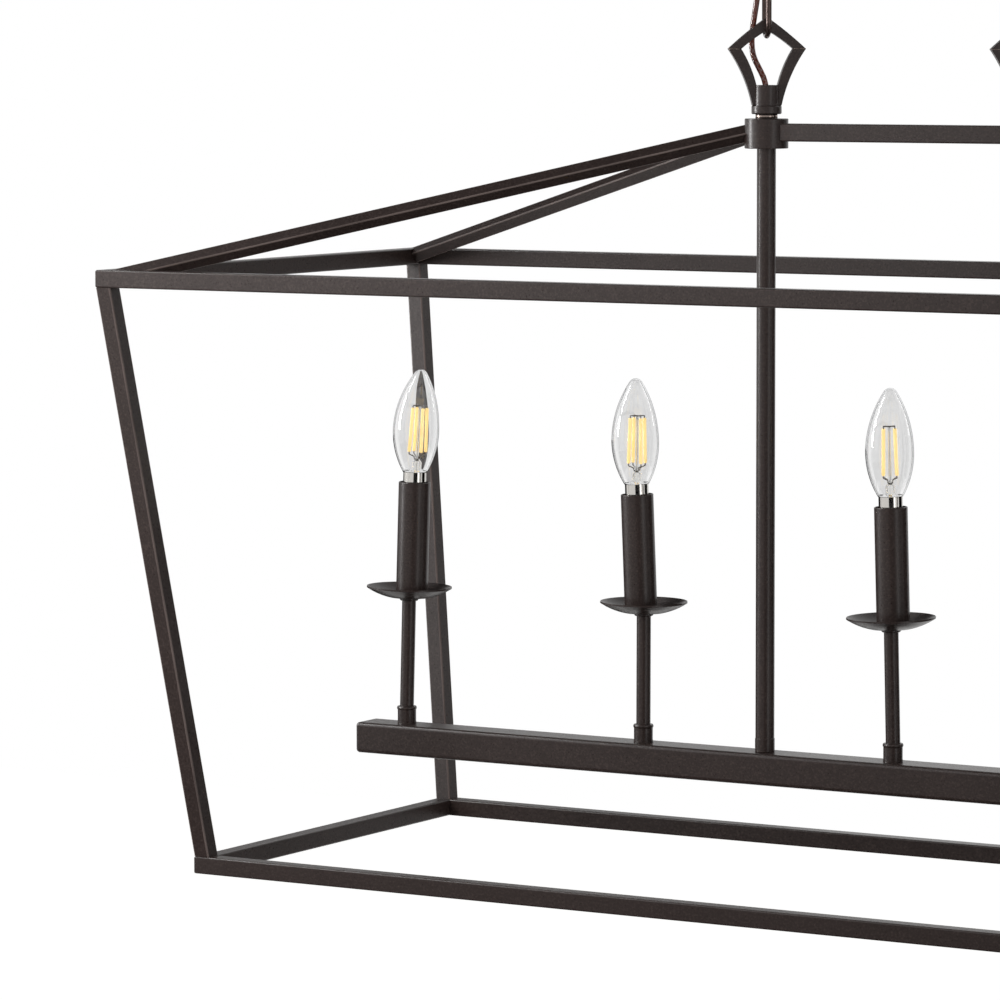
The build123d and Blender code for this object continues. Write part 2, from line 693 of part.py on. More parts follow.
# The base's screw thread is drawn as plain rings at the thread's pitch
thread_turns = int(base_thread_length / base_thread_pitch)
thread_r = base_thread_d / 2
thread_low = collar_low - base_thread_length
shell_floor = collar_low - thread_turns * base_thread_pitch
base_bore_r = thread_r - base_groove - base_wall
ring_points = []
for ring in range(thread_turns):
    ring_z = collar_low - ring * base_thread_pitch
    ring_points.append((thread_r - base_groove, ring_z - base_thread_pitch / 2))
    ring_points.append((thread_r, ring_z - base_thread_pitch))
base_profile = [
    (base_bore_r, collar_high),
    (base_collar_d / 2, collar_high),
    (base_collar_d / 2, collar_low),
    (thread_r, collar_low),
    *ring_points,
    (contact_d / 2, thread_low),
    (contact_d / 2, thread_low - contact_height),
    (0, thread_low - contact_height),
    (0, shell_floor),
    (base_bore_r, shell_floor),
]

for number, (frame, filament_turn) in enumerate(zip(candle_frames, filament_turns), start=1):
    with BuildPart() as bulb_base:
        with BuildSketch(candle_side(frame, 0)):
            with BuildLine():
                Polyline(*base_profile, close=True)
            make_face()
        revolve(axis=candle_axis(frame))
    save(bulb_base.part, f"bulb_base_{number}")

    with BuildPart() as bulb_glass:
        with BuildSketch(candle_side(frame, glass_base)):
            with BuildLine():
                outer_neck, outer_tip = glass_side(0)
                inner_neck, inner_tip = glass_side(glass_wall)
                Line(outer_tip, inner_tip)
                Line(outer_neck, inner_neck)
            make_face()
        revolve(axis=candle_axis(frame))
    save(bulb_glass.part, f"bulb_glass_{number}")

    flare_r = inner_neck[0] - bulb_seat_gap
    low_centre = frame.origin + frame.z_dir * (glass_base + filament_start)
    high_centre = low_centre + frame.z_dir * filament_length
    wire_circles = ((low_centre, filament_circle_d), (high_centre, filament_top_circle_d))
    with BuildPart() as bulb_filaments:
        with Locations(frame.offset(glass_base)):
            Cone(flare_r, mount_d / 2, mount_flare_height, align=CENTRE_MIN)
            Cylinder(mount_d / 2, filament_start + filament_length + mount_tip, align=CENTRE_MIN)
        for turn_number in range(filament_count):
            spoke_turn = filament_turn + 360 * turn_number / filament_count
            spoke = frame.x_dir.rotate(candle_axis(frame), spoke_turn)
            low_end = low_centre + spoke * (filament_circle_d / 2)
            high_end = high_centre + spoke * (filament_top_circle_d / 2)
            with BuildSketch(Plane(low_end, z_dir=high_end - low_end)):
                Circle(filament_d / 2)
            extrude(amount=(high_end - low_end).length)
            for wire_foot, circle_d in wire_circles:
                with BuildSketch(Plane(wire_foot, z_dir=spoke)):
                    Circle(support_wire_d / 2)
                extrude(amount=circle_d / 2)
    save(bulb_filaments.part, f"bulb_filaments_{number}")

# Chain links: round wire bent into a stadium, standing in a vertical plane along a given direction
link_leg_r = (link_width - link_wire) / 2
link_half_straight = (link_length - link_width) / 2


def link_path(direction, x, top_wire_z):
    """Draw a link's centre line and return the plane of the wire's section at its start."""
    middle_z = top_wire_z - link_drop / 2
    start_z = middle_z - link_half_straight
    face = Plane((x, 0, middle_z), x_dir=direction, z_dir=direction.cross(Vector(0, 0, 1)))
    with BuildLine(face) as path:
        Line((link_leg_r, -link_half_straight), (link_leg_r, link_half_straight))
        ThreePointArc(
            (link_leg_r, link_half_straight),
            (0, link_half_straight + link_leg_r),
            (-link_leg_r, link_half_straight),
        )
        Line((-link_leg_r, link_half_straight), (-link_leg_r, -link_half_straight))
        ThreePointArc(
            (-link_leg_r, -link_half_straight),
            (0, -link_half_straight - link_leg_r),
            (link_leg_r, -link_half_straight),
        )
    start = Vector(x, 0, start_z) + direction * link_leg_r
    return path.line, Plane(start, z_dir=(0, 0, 1))


for end_name, x in stems_x.items():
    upper_line, upper_section = link_path(across, x, upper_link_top_z)
    with BuildPart() as upper_link:
        with BuildSketch(upper_section):
            Circle(link_wire / 2)
        sweep(path=upper_line)
    save(upper_link.part, f"upper_link_{end_name}")

with BuildPart() as lower_links:
    for x in stems_x.values():
        lower_line, lower_section = link_path(towards_back, x, lower_link_top_z)
        with BuildSketch(lower_section):
            Circle(link_wire / 2)
        sweep(path=lower_line)
save(lower_links.part, "lower_links")

# Eye bolts: a ring, a collar under the canopy and a shank up into the strap's weld nut
shank_top_z = -strap_thickness - shank_tip_gap
with BuildPart() as eye_bolts:
    with Locations(*[(x, 0, -canopy_depth) for x in stems_x.values()]):
        Cylinder(eye_collar_d / 2, eye_collar_height, align=CENTRE_MAX)
    fillet(eye_bolts.edges().group_by(Axis.Z)[0], radius=eye_collar_edge)
    with Locations(*[(x, 0, -canopy_depth) for x in stems_x.values()]):
        Cylinder(shank_d / 2, shank_top_z + canopy_depth, align=CENTRE_MIN)
    for x in stems_x.values():
        with BuildSketch(Plane((x, 0, eye_centre_z), x_dir=towards_back, z_dir=(0, 0, 1))):
            with Locations((eye_ring_r, 0)):
                Circle(eye_wire / 2)
        revolve(axis=Axis((x, 0, eye_centre_z), across))
save(eye_bolts.part, "eye_bolts")

# Canopy: a shallow tray, open to the ceiling, bored for the shanks and the cord's bushing
chain_foot = Vector(stems_x["left"], 0, loop_base_z)
cord_points = [
    chain_foot + view_right * right + view_back * behind + Vector(0, 0, 1) * above
    for right, behind, above in cord_route
]
bushing_x = cord_points[-1].X
bushing_y = cord_points[-1].Y
with BuildPart() as canopy:
    with Locations((0, 0, 0)):
        Box(canopy_length, canopy_width, canopy_depth, align=CENTRE_MAX)
    fillet(canopy.edges().filter_by(Axis.Z), radius=canopy_corner)
    fillet(canopy.edges().group_by(Axis.Z)[0], radius=canopy_edge)
    offset(amount=-canopy_wall, openings=canopy.faces().sort_by(Axis.Z)[-1])
    with Locations(*[(x, 0, -canopy_depth) for x in stems_x.values()]):
        Cylinder(shank_d / 2 + shank_fit, canopy_wall, align=CENTRE_MIN, mode=Mode.SUBTRACT)
    with Locations((bushing_x, bushing_y, -canopy_depth)):
        Cylinder(bushing_d / 2 + shank_fit, canopy_wall, align=CENTRE_MIN, mode=Mode.SUBTRACT)
save(canopy.part, "canopy")

# Bushing that carries the cord through the canopy
bushing_height = canopy_wall + bushing_stickout
with BuildPart() as cord_bushing:
    with Locations((bushing_x, bushing_y, -canopy_depth)):
        Cylinder(bushing_flange_d / 2, bushing_flange_height, align=CENTRE_MAX)
        Cylinder(bushing_d / 2, bushing_height, align=CENTRE_MIN)
    with Locations((bushing_x, bushing_y, -canopy_depth - bushing_flange_height)):
        Cylinder(
            cord_d / 2 + bushing_bore_fit,
            bushing_height + bushing_flange_height,
            align=CENTRE_MIN,
            mode=Mode.SUBTRACT,
        )
save(cord_bushing.part, "cord_bushing")

# Ceiling strap with two slots for the ceiling box's screws and a weld nut for each eye bolt
with BuildPart() as ceiling_strap:
    with Locations((0, 0, 0)):
        Box(strap_length, strap_width, strap_thickness, align=CENTRE_MAX)
    with BuildSketch(Plane.XY):
        with Locations((-box_screw_spacing / 2, 0), (box_screw_spacing / 2, 0)):
            SlotOverall(box_slot_length, box_slot_width)
    extrude(amount=-strap_thickness, mode=Mode.SUBTRACT)
    with BuildSketch(Plane.XY.offset(-strap_thickness)):
        with Locations(*[(x, 0) for x in stems_x.values()]):
            RegularPolygon(weld_nut_across / 2, 6, major_radius=False)
            Circle(shank_d / 2 + shank_fit, mode=Mode.SUBTRACT)
    extrude(amount=-weld_nut_height)
save(ceiling_strap.part, "ceiling_strap")

# Supply cord from the left loop's socket up behind the chain into the canopy
runs = [after - before for before, after in zip(cord_points, cord_points[1:])]
cord_radii = []
for arriving, leaving in zip(runs, runs[1:]):
    half_turn = radians(arriving.get_angle(leaving)) / 2
    cord_radii.append(cord_corner_share * min(arriving.length, leaving.length) / tan(half_turn))
print("cord bend radii:", [round(radius, 1) for radius in cord_radii])
with BuildPart() as supply_cord:
    with BuildLine() as cord_line:
        FilletPolyline(*cord_points, radius=cord_radii)
    with BuildSketch(Plane(cord_points[0], z_dir=runs[0])):
        Circle(cord_d / 2)
    sweep(path=cord_line.line)
save(supply_cord.part, "supply_cord")
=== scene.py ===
"""Looks for a linear lantern pendant: bronze cage, candle bar, clear bulbs, chains and a brown lamp cord."""
import json
from math import asin, atan2, cos, degrees, pi, radians, sin, sqrt

import bmesh
import bpy
from mathutils import Matrix, Vector


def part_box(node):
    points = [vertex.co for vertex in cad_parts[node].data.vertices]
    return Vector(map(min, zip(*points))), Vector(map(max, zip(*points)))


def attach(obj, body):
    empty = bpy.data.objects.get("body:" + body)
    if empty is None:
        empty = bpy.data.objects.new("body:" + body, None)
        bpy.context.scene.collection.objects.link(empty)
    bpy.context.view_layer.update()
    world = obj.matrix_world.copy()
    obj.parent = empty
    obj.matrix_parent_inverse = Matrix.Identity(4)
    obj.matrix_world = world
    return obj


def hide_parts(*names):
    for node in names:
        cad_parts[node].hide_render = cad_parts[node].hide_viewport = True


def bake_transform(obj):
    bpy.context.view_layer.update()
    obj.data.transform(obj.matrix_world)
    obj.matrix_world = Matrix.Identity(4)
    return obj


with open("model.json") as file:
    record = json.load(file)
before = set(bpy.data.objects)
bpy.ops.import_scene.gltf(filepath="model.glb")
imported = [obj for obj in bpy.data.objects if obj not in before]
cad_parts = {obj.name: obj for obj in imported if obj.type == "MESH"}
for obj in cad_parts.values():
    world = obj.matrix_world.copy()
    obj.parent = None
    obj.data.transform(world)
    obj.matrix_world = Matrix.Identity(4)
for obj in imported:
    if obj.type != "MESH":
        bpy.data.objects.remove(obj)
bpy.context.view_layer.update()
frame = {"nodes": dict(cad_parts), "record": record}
nodes = frame["nodes"]
scene = bpy.context.scene
scene.view_settings.view_transform = "Standard"
MM = 0.001

# The photograph looks along view_back, with view_right to its right
view_turn = 0.5431
view_right = Vector((cos(view_turn), sin(view_turn), 0))
view_back = Vector((-sin(view_turn), cos(view_turn), 0))

# The face attribute that marks the rounded corners, where a paler colour is painted on the bronze coat as a
# highlight
highlight_attribute = "painted_corner_sheen"
# A wave texture of this scale repeats once in each unit of length
wave_turn = pi / 10


# Colours and material nodes

def paint(code):
    """A hex colour as linear red, green, blue and alpha."""
    parts = [int(code[i:i + 2], 16) / 255 for i in (1, 3, 5)]
    return tuple(c / 12.92 if c <= 0.04045 else ((c + 0.055) / 1.055) ** 2.4 for c in parts) + (1.0,)


def add(tree, kind, settings=None, inputs=None):
    """Add a node, set its properties and its inputs; an input given as a socket is linked."""
    node = tree.nodes.new(kind)
    for name, value in (settings or {}).items():
        setattr(node, name, value)
    for name, value in (inputs or {}).items():
        if isinstance(value, bpy.types.NodeSocket):
            tree.links.new(value, node.inputs[name])
        else:
            node.inputs[name].default_value = value
    return node


def blank_material(name):
    """A material with an empty tree."""
    material = bpy.data.materials.new(name)
    material.use_nodes = True
    material.node_tree.nodes.clear()
    return material, material.node_tree


def start_material(name):
    """A material with an empty tree, and its object coordinates in millimetres."""
    material, tree = blank_material(name)
    place = add(tree, "ShaderNodeTexCoord")
    in_mm = add(tree, "ShaderNodeVectorMath", {"operation": "SCALE"}, {
        0: place.outputs["Object"], "Scale": 1 / MM})
    return material, tree, in_mm.outputs[0]


def finish_material(tree, shader):
    """Join a shader to the material's output."""
    add(tree, "ShaderNodeOutputMaterial", None, {"Surface": shader.outputs[0]})


# Pattern sizes in the materials are in millimetres

def powder_coat_bronze():
    """Baked bronze powder coat: dark brown satin with fine grit, cloudy browns, and a paler painted highlight
    in patches along its thin rounded corners.
    """
    material, tree, mm = start_material("bronze_powder_coat")
    # The coat's grain is about 0.3 mm, and is drawn at 1.5 mm so that it shows at this distance
    grit_size = 1.5
    cloud_size = 55.0
    grit_height = 0.3
    grit = add(tree, "ShaderNodeTexNoise", None, {
        "Vector": mm, "Scale": 1 / grit_size, "Detail": 2.0, "Roughness": 0.6})
    cloud = add(tree, "ShaderNodeTexNoise", None, {
        "Vector": mm, "Scale": 1 / cloud_size, "Detail": 2.0})
    shade = add(tree, "ShaderNodeMix", {"data_type": "RGBA"}, {
        "Factor": cloud.outputs["Fac"], "A": paint("#241c1a"), "B": paint("#2d2422")})
    fleck = add(tree, "ShaderNodeMapRange", None, {
        "Value": grit.outputs["Fac"], "From Min": 0.5, "From Max": 0.72, "To Min": 0.0, "To Max": 0.22})
    colour = add(tree, "ShaderNodeMix", {"data_type": "RGBA"}, {
        "Factor": fleck.outputs[0], "A": shade.outputs["Result"], "B": paint("#594b46")})
    # The paler colour along the rounded corners is a painted highlight, broken into patches by the cloudy
    # noise
    corner = add(tree, "ShaderNodeAttribute", {"attribute_name": highlight_attribute})
    highlight_patches = add(tree, "ShaderNodeMath", {"operation": "MULTIPLY"}, {
        0: corner.outputs["Fac"], 1: cloud.outputs["Fac"]})
    highlit_corners = add(tree, "ShaderNodeMix", {"data_type": "RGBA"}, {
        "Factor": highlight_patches.outputs[0], "A": colour.outputs["Result"], "B": paint("#6c605c")})
    dull = add(tree, "ShaderNodeMapRange", None, {
        "Value": grit.outputs["Fac"], "From Min": 0.3, "From Max": 0.7, "To Min": 0.27, "To Max": 0.37})
    bump = add(tree, "ShaderNodeBump", None, {
        "Height": grit.outputs["Fac"], "Strength": 0.12, "Distance": grit_height * MM})
    shader = add(tree, "ShaderNodeBsdfPrincipled", None, {
        "Base Color": highlit_corners.outputs["Result"], "Roughness": dull.outputs[0], "Specular IOR Level": 0.26,
        "Normal": bump.outputs[0]})
    finish_material(tree, shader)
    return material


def plated_chain():
    """Bronze-plated steel wire: dark and glossy, with slow streaks of paler metal."""
    material, tree, mm = start_material("bronze_plated_wire")
    streak_size = 6.0
    streak = add(tree, "ShaderNodeTexNoise", None, {
        "Vector": mm, "Scale": 1 / streak_size, "Detail": 2.0})
    colour = add(tree, "ShaderNodeMix", {"data_type": "RGBA"}, {
        "Factor": streak.outputs["Fac"], "A": paint("#2c2321"), "B": paint("#4f403b")})
    shader = add(tree, "ShaderNodeBsdfPrincipled", None, {
        "Base Color": colour.outputs["Result"], "Metallic": 0.7, "Roughness": 0.2})
    finish_material(tree, shader)
    return material


def bare_bronze():
    """Bronze weld and thread where the coat stops: darker than brass and shiny, with fine turning marks; on
    the loops' weld seams its paler colour is also a painted glint.
    """
    material, tree, mm = start_material("bare_bronze")
    # The marks are about 0.2 mm apart, and are drawn at 0.8 mm so that they show
    mark_size = 0.8
    marks = add(tree, "ShaderNodeTexNoise", None, {
        "Vector": mm, "Scale": 1 / mark_size, "Detail": 2.0})
    dull = add(tree, "ShaderNodeMapRange", None, {
        "Value": marks.outputs["Fac"], "From Min": 0.3, "From Max": 0.7, "To Min": 0.12, "To Max": 0.24})
    shader = add(tree, "ShaderNodeBsdfPrincipled", None, {
        "Base Color": paint("#83766f"), "Metallic": 1.0, "Roughness": dull.outputs[0]})
    finish_material(tree, shader)
    return material


def polished_nickel():
    """Nickel-plated lamp base: pale grey, nearly a mirror, with fine draw marks that soften it a little."""
    material, tree, mm = start_material("polished_nickel")
    # The marks are about 0.1 mm wide, and are drawn at 0.7 mm so that they show
    mark_size = 0.7
    marks = add(tree, "ShaderNodeTexNoise", None, {
        "Vector": mm, "Scale": 1 / mark_size, "Detail": 3.0})
    dull = add(tree, "ShaderNodeMapRange", None, {
        "Value": marks.outputs["Fac"], "From Min": 0.3, "From Max": 0.7, "To Min": 0.06, "To Max": 0.15})
    shader = add(tree, "ShaderNodeBsdfPrincipled", None, {
        "Base Color": paint("#c6c3be"), "Metallic": 1.0, "Roughness": dull.outputs[0]})
    finish_material(tree, shader)
    return material


def soda_lime_glass():
    """Blown soda-lime glass: smooth and faintly grey in front, with a painted highlight that clears its sides
    to white, and a thin painted dark rim.
    """
    material, tree, mm = start_material("soda_lime_glass")
    cloud_size = 18.0
    cloud = add(tree, "ShaderNodeTexNoise", None, {
        "Vector": mm, "Scale": 1 / cloud_size, "Detail": 1.0})
    grey = add(tree, "ShaderNodeMix", {"data_type": "RGBA"}, {
        "Factor": cloud.outputs["Fac"], "A": paint("#e8e8e8"), "B": paint("#f0f0f0")})
    facing = add(tree, "ShaderNodeLayerWeight", None, {"Blend": 0.5})
    # Clearing the glass to white at its sides is a painted highlight
    side = add(tree, "ShaderNodeMapRange", None, {
        "Value": facing.outputs["Facing"], "From Min": 0.3, "From Max": 0.45})
    body = add(tree, "ShaderNodeMix", {"data_type": "RGBA"}, {
        "Factor": side.outputs[0], "A": grey.outputs["Result"], "B": paint("#ffffff")})
    # The thin dark grey rim along the outline is a painted dark reflection
    painted_dark_rim = add(tree, "ShaderNodeMapRange", None, {
        "Value": facing.outputs["Facing"], "From Min": 0.66, "From Max": 0.74})
    tint = add(tree, "ShaderNodeMix", {"data_type": "RGBA"}, {
        "Factor": painted_dark_rim.outputs[0], "A": body.outputs["Result"], "B": paint("#4a4b4d")})
    shader = add(tree, "ShaderNodeBsdfPrincipled", None, {
        "Base Color": tint.outputs["Result"], "Roughness": 0.0, "IOR": 1.45, "Transmission Weight": 1.0})
    finish_material(tree, shader)
    return material


def drawn_glass():
    """Drawn glass rod and flare inside the bulbs: clear and faintly streaked, with painted dark outlines."""
    material, tree, mm = start_material("drawn_glass")
    streak_size = 2.0
    streak_height = 0.3
    streak = add(tree, "ShaderNodeTexNoise", None, {
        "Vector": mm, "Scale": 1 / streak_size, "Detail": 1.0})
    bump = add(tree, "ShaderNodeBump", None, {
        "Height": streak.outputs["Fac"], "Strength": 0.1, "Distance": streak_height * MM})
    facing = add(tree, "ShaderNodeLayerWeight", None, {"Blend": 0.5})
    # The near-black outline is a painted dark reflection
    painted_dark_rim = add(tree, "ShaderNodeMapRange", None, {
        "Value": facing.outputs["Facing"], "From Min": 0.4, "From Max": 0.65})
    tint = add(tree, "ShaderNodeMix", {"data_type": "RGBA"}, {
        "Factor": painted_dark_rim.outputs[0], "A": paint("#fafaf8"), "B": paint("#1c1c1d")})
    shader = add(tree, "ShaderNodeBsdfPrincipled", None, {
        "Base Color": tint.outputs["Result"], "Roughness": 0.0, "IOR": 1.45, "Transmission Weight": 1.0,
        "Normal": bump.outputs[0]})
    finish_material(tree, shader)
    return material


def phosphor_resin():
    """LED filament: pale yellow phosphor in silicone resin, a little grainy, with a soft painted glow, as the
    bulbs are not lit.
    """
    material, tree, mm = start_material("phosphor_resin")
    # The phosphor's grain is about 0.05 mm, and is drawn at 0.8 mm so that it shows
    grain_size = 0.8
    grain = add(tree, "ShaderNodeTexNoise", None, {
        "Vector": mm, "Scale": 1 / grain_size, "Detail": 2.0})
    colour = add(tree, "ShaderNodeMix", {"data_type": "RGBA"}, {
        "Factor": grain.outputs["Fac"], "A": paint("#fccc70"), "B": paint("#ffeaa8")})
    # The emission is a painted glow: the bulbs are not lit
    shader = add(tree, "ShaderNodeBsdfPrincipled", None, {
        "Base Color": colour.outputs["Result"], "Roughness": 0.4, "Emission Color": paint("#ffde8e"),
        "Emission Strength": 0.7})
    finish_material(tree, shader)
    return material


def nickel_wire():
    """Nickel-iron support wire inside the bulbs: dark grey metal with an uneven, soft shine."""
    material, tree, mm = start_material("nickel_iron_wire")
    # The wire's grain is about 0.1 mm, and is drawn at 0.6 mm so that it shows
    grain_size = 0.6
    grain = add(tree, "ShaderNodeTexNoise", None, {
        "Vector": mm, "Scale": 1 / grain_size, "Detail": 1.0})
    dull = add(tree, "ShaderNodeMapRange", None, {
        "Value": grain.outputs["Fac"], "To Min": 0.25, "To Max": 0.4})
    shader = add(tree, "ShaderNodeBsdfPrincipled", None, {
        "Base Color": paint("#6f6a65"), "Metallic": 1.0, "Roughness": dull.outputs[0]})
    finish_material(tree, shader)
    return material


def phenolic():
    """Moulded black phenolic of the lampholders: low gloss, with a fine mottled skin."""
    material, tree, mm = start_material("black_phenolic")
    mottle_size = 1.5
    mottle = add(tree, "ShaderNodeTexNoise", None, {
        "Vector": mm, "Scale": 1 / mottle_size, "Detail": 2.0})
    colour = add(tree, "ShaderNodeMix", {"data_type": "RGBA"}, {
        "Factor": mottle.outputs["Fac"], "A": paint("#0b0a0a"), "B": paint("#151312")})
    shader = add(tree, "ShaderNodeBsdfPrincipled", None, {
        "Base Color": colour.outputs["Result"], "Roughness": 0.8, "Specular IOR Level": 0.1})
    finish_material(tree, shader)
    return material


def zinc_steel():
    """Zinc-plated steel of the hidden hardware: pale grey with a faint spangle."""
    material, tree, mm = start_material("zinc_plated_steel")
    spangle_size = 2.5
    spangle = add(tree, "ShaderNodeTexVoronoi", None, {"Vector": mm, "Scale": 1 / spangle_size})
    dull = add(tree, "ShaderNodeMapRange", None, {
        "Value": spangle.outputs["Distance"], "To Min": 0.28, "To Max": 0.45})
    shader = add(tree, "ShaderNodeBsdfPrincipled", None, {
        "Base Color": paint("#a9aaa6"), "Metallic": 1.0, "Roughness": dull.outputs[0]})
    finish_material(tree, shader)
    return material


def brown_vinyl():
    """Translucent brown vinyl of the lamp cord: glossy, with the lay of its warm copper showing through."""
    material, tree, mm = start_material("brown_vinyl")
    cloud_size = 5.0
    lay_pitch = 4.5
    lay_height = 0.6
    cloud = add(tree, "ShaderNodeTexNoise", None, {
        "Vector": mm, "Scale": 1 / cloud_size, "Detail": 2.0})
    colour = add(tree, "ShaderNodeMix", {"data_type": "RGBA"}, {
        "Factor": cloud.outputs["Fac"], "A": paint("#4c2620"), "B": paint("#8a5548")})
    lay = add(tree, "ShaderNodeTexWave", {"wave_type": "BANDS", "bands_direction": "Z"}, {
        "Vector": mm, "Scale": wave_turn / lay_pitch, "Distortion": 1.5})
    bump = add(tree, "ShaderNodeBump", None, {
        "Height": lay.outputs["Fac"], "Strength": 0.6, "Distance": lay_height * MM})
    shader = add(tree, "ShaderNodeBsdfPrincipled", None, {
        "Base Color": colour.outputs["Result"], "Roughness": 0.06, "IOR": 1.5, "Transmission Weight": 0.65,
        "Normal": bump.outputs[0]})
    finish_material(tree, shader)
    return material


def stranded_copper():
    """Stranded copper inside the cord: warm and bright, with a fine twist of wires."""
    material, tree, mm = start_material("stranded_copper")
    # The strands are about 0.2 mm thick, and are drawn at about half a millimetre so that they show
    strand_size = 0.5236
    strands = add(tree, "ShaderNodeTexWave", {"wave_type": "BANDS", "bands_direction": "DIAGONAL"}, {
        "Vector": mm, "Scale": wave_turn / strand_size, "Distortion": 1.0})
    colour = add(tree, "ShaderNodeMix", {"data_type": "RGBA"}, {
        "Factor": strands.outputs["Fac"], "A": paint("#8a5546"), "B": paint("#ffdccf")})
    shader = add(tree, "ShaderNodeBsdfPrincipled", None, {
        "Base Color": colour.outputs["Result"], "Metallic": 1.0, "Roughness": 0.3})
    finish_material(tree, shader)
    return material


bronze = powder_coat_bronze()
chain_wire = plated_chain()
thread_bronze = bare_bronze()
nickel = polished_nickel()
clear_glass = soda_lime_glass()
stem_glass = drawn_glass()
phosphor = phosphor_resin()
support_wire = nickel_wire()
black_phenolic = phenolic()
zinc = zinc_steel()
vinyl = brown_vinyl()
copper = stranded_copper()

slot_materials = {
    "bronze": bronze,
    "chain_bronze": chain_wire,
    "zinc_steel": zinc,
    "black_phenolic": black_phenolic,
    "brown_vinyl": vinyl,
    "clear_glass": clear_glass,
    "nickel": nickel,
    "phosphor": phosphor,
}
for entry in frame["record"]["subparts"]:
    mesh = nodes[entry["node"]].data
    mesh.materials.clear()
    mesh.materials.append(slot_materials[entry["material_slot"]])

# The rounded corners of the legs and hips, told from their flat faces by their width in millimetres, and
# marked for the painted highlight
corner_width = 1.3
square_tubes = ("leg", "hip")
for name, node in nodes.items():
    if name.startswith(square_tubes):
        highlit_corners = node.data.attributes.new(highlight_attribute, "FLOAT", "FACE")
        for face in node.data.polygons:
            ends = [node.data.vertices[i].co for i in face.vertices]
            longest = max((a - b).length for a, b in zip(ends, ends[1:] + ends[:1]))
            highlit_corners.data[face.index].value = float(2 * face.area < longest * corner_width * MM)


# Shapes, drawn in millimetres

merge_gap = 0.01


def make_piece(name, bm, material, body, replaced=()):
    """Turn a bmesh, already in place, into a smooth-shaded piece that rides on a body."""
    bmesh.ops.remove_doubles(bm, verts=bm.verts, dist=merge_gap * MM)
    bmesh.ops.recalc_face_normals(bm, faces=bm.faces)
    mesh = bpy.data.meshes.new(name)
    bm.to_mesh(mesh)
    bm.free()
    mesh.materials.append(material)
    mesh.shade_smooth()
    piece = bpy.data.objects.new(name, mesh)
    scene.collection.objects.link(piece)
    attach(piece, body)
    if replaced:
        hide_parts(*replaced)
    return piece


def turned(bm, start, moves, steps=48):
    """Turn a profile in the XZ plane about Z; it moves straight to a point, or about a centre by an angle."""
    last = bm.verts.new((start[0] * MM, 0, start[1] * MM))
    for move in moves:
        if len(move) == 2:
            point = bm.verts.new((move[0] * MM, 0, move[1] * MM))
            bm.edges.new((last, point))
            last = point
        else:
            centre_r, centre_z, angle, arc_steps = move
            swept = bmesh.ops.spin(bm, geom=[last], cent=(centre_r * MM, 0, centre_z * MM), axis=(0, -1, 0),
                                   angle=radians(angle), steps=arc_steps)
            last = [v for v in swept["geom_last"] if isinstance(v, bmesh.types.BMVert)][0]
    bmesh.ops.spin(bm, geom=bm.verts[:] + bm.edges[:], cent=(0, 0, 0), axis=(0, 0, 1), angle=2 * pi,
                   steps=steps, use_merge=True)


def rod(bm, low, high, thickness, sides, rounding=0.0):
    """A round rod between two points, with its ends rounded by a bevel."""
    low, high = Vector(low) * MM, Vector(high) * MM
    run = high - low
    turn = Vector((0, 0, 1)).rotation_difference(run).to_matrix().to_4x4()
    made = bmesh.ops.create_cone(bm, cap_ends=True, segments=sides, radius1=thickness * MM / 2,
                                 radius2=thickness * MM / 2, depth=run.length,
                                 matrix=Matrix.Translation((low + high) / 2) @ turn)
    if rounding:
        rings = [e for e in {e for v in made["verts"] for e in v.link_edges}
                 if any(len(f.verts) > 4 for f in e.link_faces)]
        bmesh.ops.bevel(bm, geom=rings, offset=rounding * MM, segments=3, profile=0.5, affect="EDGES",
                        material=-1)


# Bulbs, each drawn upright from the foot of its glass and then set on its leaning axis
joints = {joint["name"]: joint for joint in frame["record"]["behaviour"]["joints"]}
wire_sides = 8

glass_d = 34.6
glass_belly = 31.0
lower_radius = 62.0
upper_radius = 79.9
tip_radius = 5.4
glass_wall = 0.9
glass_sides = 96
lower_steps, upper_steps, tip_steps = 24, 36, 12
# How far each glass leans aside at its tip, and how late in its height it starts to
tip_drifts = [2.8, 1.9, 1.3, 1.5, 1.5]
drift_bend = 1.5

# How far each set of filaments is turned about its axis, leans to the right and stands to the right
filament_turns = [55.0, 55.0, 72.0, 40.0, 20.0]
mount_leans = [2.0, 2.6, 0.0, 0.0, 0.0]
mount_shifts = [1.0, 0.0, 0.0, 0.0, 0.0]
filament_count = 4
filament_d = 2.6
filament_rounding = 0.8
filament_sides = 16
filament_low, filament_high = 15.0, 48.0
filament_low_r, filament_high_r = 6.7, 5.7
tab_d = 0.9
tab_length = 1.6
wire_d = 0.8
return_d = 0.5
press_top = 9.6
press_inner, press_half, elbow_r = 0.4, 2.2, 2.6
rod_top = 50.0
spider_height = 49.6
mount_tube_r = 3.6
glass_rod_r = 1.1
mount_sides = 32

lower_centre = glass_d / 2 - lower_radius
upper_centre = glass_d / 2 - upper_radius
tip_centre = glass_belly + sqrt((upper_radius - tip_radius) ** 2 - upper_centre ** 2)
tip_angle = degrees(atan2(tip_centre - glass_belly, -upper_centre))
neck_angle = degrees(asin(glass_belly / lower_radius))
neck_r = lower_centre + sqrt(lower_radius ** 2 - glass_belly ** 2)

# Radius and height of the glass mount: its flare in the neck, its tube, its pinched press and its rod
mount_profile = [
    (neck_r - 1.2, 0.2),
    (neck_r - 3.4, 1.0),
    (mount_tube_r, 2.6),
    (mount_tube_r, 7.4),
    (2.7, press_top - 1),
    (2.0, press_top),
    (glass_rod_r, press_top + 1.5),
    (glass_rod_r, rod_top - 1),
    (0.0, rod_top),
]


